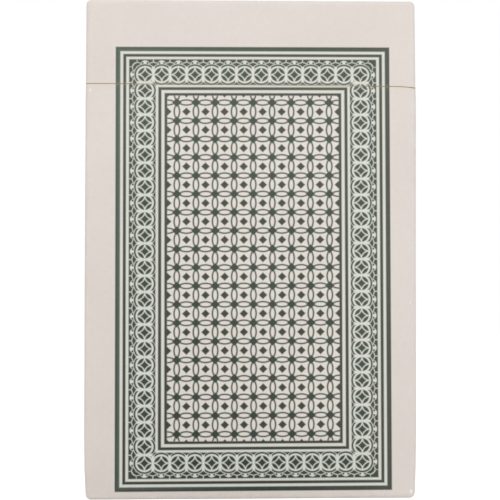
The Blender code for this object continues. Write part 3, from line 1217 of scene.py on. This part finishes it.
# Card edges: the tone changes from card to card, read from each card's place in the stack.
def cardEdgeMaterial(firstY, pitch):
    material, tree, shader = newMaterial("cardEdge", cardLook["edgeRoughness"], cardLook["edgeSpecular"])
    place = objectPlace(tree)
    y = inMillimetres(tree, place)[1]
    varied = tree.nodes.new("ShaderNodeTexWhiteNoise")
    varied.noise_dimensions = "1D"
    feed(tree, varied.inputs["W"], ((y - firstY) / pitch).step("FLOOR"))
    tone = shaderValue(tree, varied.outputs["Value"]) * cardLook["edgeVaries"]
    shade = placeGroup(tree, paperTooth, Place=place)["Shade"] * cardLook["edgeClouds"]
    colour = mixed(tree, limited(tone + shade), printColours["cardPaper"], cardLook["edgeDark"])
    feed(tree, shader.inputs["Base Color"], colour)
    return material


# Rows of pips up each column for a rank: how many stand in each side column, and the middle column's
# heights as shares of the end row's height.
third = 1 / 3
pipRows = {
    "2": (0, (1, -1)), "3": (0, (1, 0, -1)), "4": (2, ()), "5": (2, (0,)), "6": (3, ()), "7": (3, (0.5,)),
    "8": (3, (0.5, -0.5)), "9": (4, (0,)), "10": (4, (2 * third, -2 * third)),
    "jack": (4, (2 * third, 0, -2 * third)), "queen": (4, (1, third, -third, -1)),
    "king": (4, (1, 0.5, 0, -0.5, -1)),
}


# Each pip of a card as its middle, half size and which way is up.
def cardPips(rank):
    s = cardShape
    cornerX, cornerZ, cornerHalf = s["cornerPip"]
    pips = [(cornerX, cornerZ, cornerHalf, 1), (-cornerX, -cornerZ, cornerHalf, -1)]
    if rank not in pipRows:
        return np.array(pips + [(0.0, 0.0, s["acePipHalf"], 1)])
    sideCount, shares = pipRows[rank]
    sideShares = np.linspace(1, -1, sideCount) if sideCount else ()
    for x, column in ((-s["columnX"], sideShares), (s["columnX"], sideShares), (0.0, shares)):
        pips += [(x, s["endZ"] * share, s["pipHalf"], -1 if share < 0 else 1) for share in column]
    return np.array(pips)


# A card: two faces on one grid, whose outer columns follow the rounded corners as quarter circles, and the
# edge strips between them. The grid's lines run along the sides of every pip's square.
def cardMesh(name, rank):
    low, high = nodeBox(name)
    middle = (low + high) / 2
    halfX, _, halfZ = (high - low) / 2
    corner = cardShape["corner"]
    pips = cardPips(rank)
    straightX = halfX - corner - cardShape["cornerClear"]
    linesX = np.concatenate([pips[:, 0] - pips[:, 2], pips[:, 0] + pips[:, 2], [-straightX, straightX]])
    arc = corner * (1 - np.cos(np.linspace(0, math.pi / 2, cardShape["cornerSteps"] + 1)))
    linesZ = np.concatenate([pips[:, 1] - pips[:, 2], pips[:, 1] + pips[:, 2], halfZ - arc, arc - halfZ])
    linesX, linesZ = np.unique(np.round(linesX, 3)), np.unique(np.round(linesZ, 3))
    intoEnd = np.clip(np.abs(linesZ) - (halfZ - corner), 0, corner)
    edge = (halfX - corner + np.sqrt(corner ** 2 - intoEnd ** 2))[:, None]
    x = np.concatenate([-edge, np.broadcast_to(linesX, (len(linesZ), len(linesX))), edge], 1)
    z = np.broadcast_to(linesZ[:, None], x.shape)
    back = np.stack([middle[0] + x, 0 * x + low[1], middle[2] + z], -1)
    face = np.stack([middle[0] + x, 0 * x + high[1], middle[2] + z], -1)
    patches = [
        (back, cardBackSlot, {}),
        (face[:, ::-1], cardFaceSlot, {}),
        *edgeStrips(back, face, cardEdgeSlot),
    ]
    mesh = sheetMesh(name, patches)
    layPips(mesh, pips, middle)
    return mesh


# Gives the faces inside a pip's square its own coordinates, from -1 to 1, and all other faces a far place.
def layPips(mesh, pips, middle):
    slot, _, centre, faceOf, place = meshArrays(mesh)
    flat = (place - middle)[:, ::2]
    centre = (centre - middle)[:, ::2]
    near = np.abs(centre[:, None] - pips[None, :, :2]).max(2) < pips[None, :, 2]
    owner = np.where((slot == cardFaceSlot) & near.any(1), near.argmax(1), -1)[faceOf]
    chosen = pips[owner]
    local = (flat - chosen[:, :2]) / chosen[:, 2:3] * chosen[:, 3:4]
    addMap(mesh, "pips", np.where((owner >= 0)[:, None], local, cardShape["noPip"]))


def addCards():
    names = [name for name in frame["nodes"] if name.startswith("card_")]
    low, high = nodeBox("card_spades_ace")
    last = nodeBox("card_joker_2")[0]
    pitch = (last[1] - low[1]) / (len(names) - 1)
    red, black, pale = printColours["red"], printColours["black"], printColours["paleInk"]
    inks = {"spades": black, "hearts": red, "diamonds": red, "clubs": black, "joker": pale}
    faces = {suit: cardFaceMaterial(suit, ink) for suit, ink in inks.items()}
    backing = cardBackMaterial(float(low[2] + high[2]) / 2)
    edging = cardEdgeMaterial(float(low[1]), float(pitch))
    for name in names:
        _, suit, rank = name.split("_")
        card = addPiece(name + "_printed", cardMesh(name, rank), (backing, faces[suit], edging))
        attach(card, "deck")
        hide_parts(name)
    print("cards made:", len(names))


addCards()


# Light, floor and camera

cameraPlace = {
    "location": (-8.450, -260.662, 33.060),
    "aim": (-0.17, -9.75, 44.75),
    "roll": -0.0988,          # degrees; the camera leaned a little to the right
    "lens": 100.0,
    "sensor": 36.0,
    "clipStart": 10.0,
}
studio = {
    "keyPlace": (15.0, -380.0, 420.0),
    "keyAim": (0.0, 0.0, 45.0),
    "keySize": 420.0,
    "keyPower": 1.14,
    "worldStrength": 0.655,
    "floorSize": 4000.0,
    "floorDrop": 0.02,        # keeps the floor clear of the base
    "floorColour": (0.82, 0.82, 0.82, 1.0),
    "floorGlow": 0.45,        # only for rays that see the background
    "floorBounce": 0.14,
}


def aimed(place, aim, rollDegrees=0.0):
    place, aim = Vector(place) * toMetres, Vector(aim) * toMetres
    roll = Matrix.Rotation(math.radians(rollDegrees), 3, "Z")
    turn = (aim - place).to_track_quat("-Z", "Y").to_matrix() @ roll
    return Matrix.Translation(place) @ turn.to_4x4()


def addCamera():
    data = bpy.data.cameras.new("photoCamera")
    data.lens = cameraPlace["lens"]
    data.sensor_width = cameraPlace["sensor"]
    data.clip_start = cameraPlace["clipStart"] * toMetres
    camera = addObject("photoCamera", data)
    camera.matrix_world = aimed(cameraPlace["location"], cameraPlace["aim"], cameraPlace["roll"])
    bpy.context.scene.camera = camera


# 1 for rays that should see the white background: straight from the camera, mirrored or through glass.
def backgroundRay(tree):
    path = tree.nodes.new("ShaderNodeLightPath")
    labels = ("Is Camera Ray", "Is Glossy Ray", "Is Transmission Ray")
    return highest(*(shaderValue(tree, path.outputs[label]) for label in labels))


def addStudio():
    data = bpy.data.lights.new("keyLight", "AREA")
    data.shape = "SQUARE"
    data.size = studio["keySize"] * toMetres
    data.energy = studio["keyPower"]
    key = addObject("keyLight", data)
    key.matrix_world = aimed(studio["keyPlace"], studio["keyAim"])

    world = bpy.data.worlds.new("paleStudio")
    world.use_nodes = True
    bpy.context.scene.world = world
    tree = world.node_tree
    background = tree.nodes["Background"]
    background.inputs["Color"].default_value = (1.0, 1.0, 1.0, 1.0)
    strength = backgroundRay(tree) * (1.0 - studio["worldStrength"]) + studio["worldStrength"]
    feed(tree, background.inputs["Strength"], strength)

    half = studio["floorSize"] / 2
    line = np.array([-half, half])
    grid = np.stack(np.broadcast_arrays(line[None], line[:, None], -studio["floorDrop"]), -1)
    material = bpy.data.materials.new("paleFloor")
    material.use_nodes = True
    tree = material.node_tree
    tree.nodes.remove(tree.nodes["Principled BSDF"])
    matt = tree.nodes.new("ShaderNodeBsdfDiffuse")
    matt.inputs["Color"].default_value = studio["floorColour"]
    glow = tree.nodes.new("ShaderNodeEmission")
    strength = backgroundRay(tree) * studio["floorGlow"] + studio["floorBounce"]
    feed(tree, glow.inputs["Strength"], strength)
    both = tree.nodes.new("ShaderNodeAddShader")
    tree.links.new(matt.outputs[0], both.inputs[0])
    tree.links.new(glow.outputs[0], both.inputs[1])
    tree.links.new(both.outputs[0], tree.nodes["Material Output"].inputs["Surface"])
    floor = addPiece("floor", sheetMesh("floor", [(grid, 0, {})]), (material,))


bpy.context.scene.view_settings.view_transform = "Standard"
addCamera()
addStudio()
print("studio ready")
